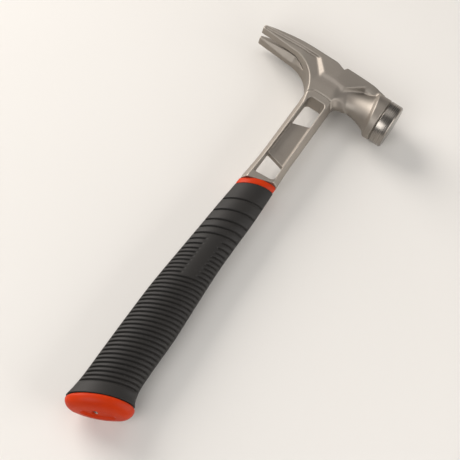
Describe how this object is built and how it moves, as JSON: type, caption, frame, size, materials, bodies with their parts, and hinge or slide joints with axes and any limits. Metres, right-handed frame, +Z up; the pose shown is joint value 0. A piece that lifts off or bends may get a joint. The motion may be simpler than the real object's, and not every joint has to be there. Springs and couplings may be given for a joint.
{
  "type": "framing hammer",
  "caption": "Framing hammer with a straight split claw, round striking face, open steel shank with a web, ribbed rubber grip and slanted orange collar and end cap",
  "frame": {"origin": "middle of the footprint, on the surface that the hammer lies on", "axes": "+X towards the striking face, +Y up the handle to the head, +Z up through the cheeks"},
  "size_m": [0.134, 0.3762, 0.0374],
  "materials": {
    "blasted_steel": "forged and bead-blasted",
    "turned_steel": "turned and polished",
    "magnet_nickel": "nickel-plated",
    "orange_plastic": "fine moulded grain",
    "core_nylon": "as moulded",
    "zinc_steel": "zinc-plated",
    "black_rubber": "matte moulded rubber"
  },
  "bodies": {
    "root": {"head_frame": "blasted_steel", "strike_face": "turned_steel", "nail_magnet": "magnet_nickel", "collar_ring": "orange_plastic", "core_near": "core_nylon", "core_far": "core_nylon", "core_rivets": "zinc_steel", "grip_sleeve": "black_rubber", "end_cap": "orange_plastic", "cap_washer": "zinc_steel", "cap_screw": "zinc_steel"}
  },
  "joints": []
}
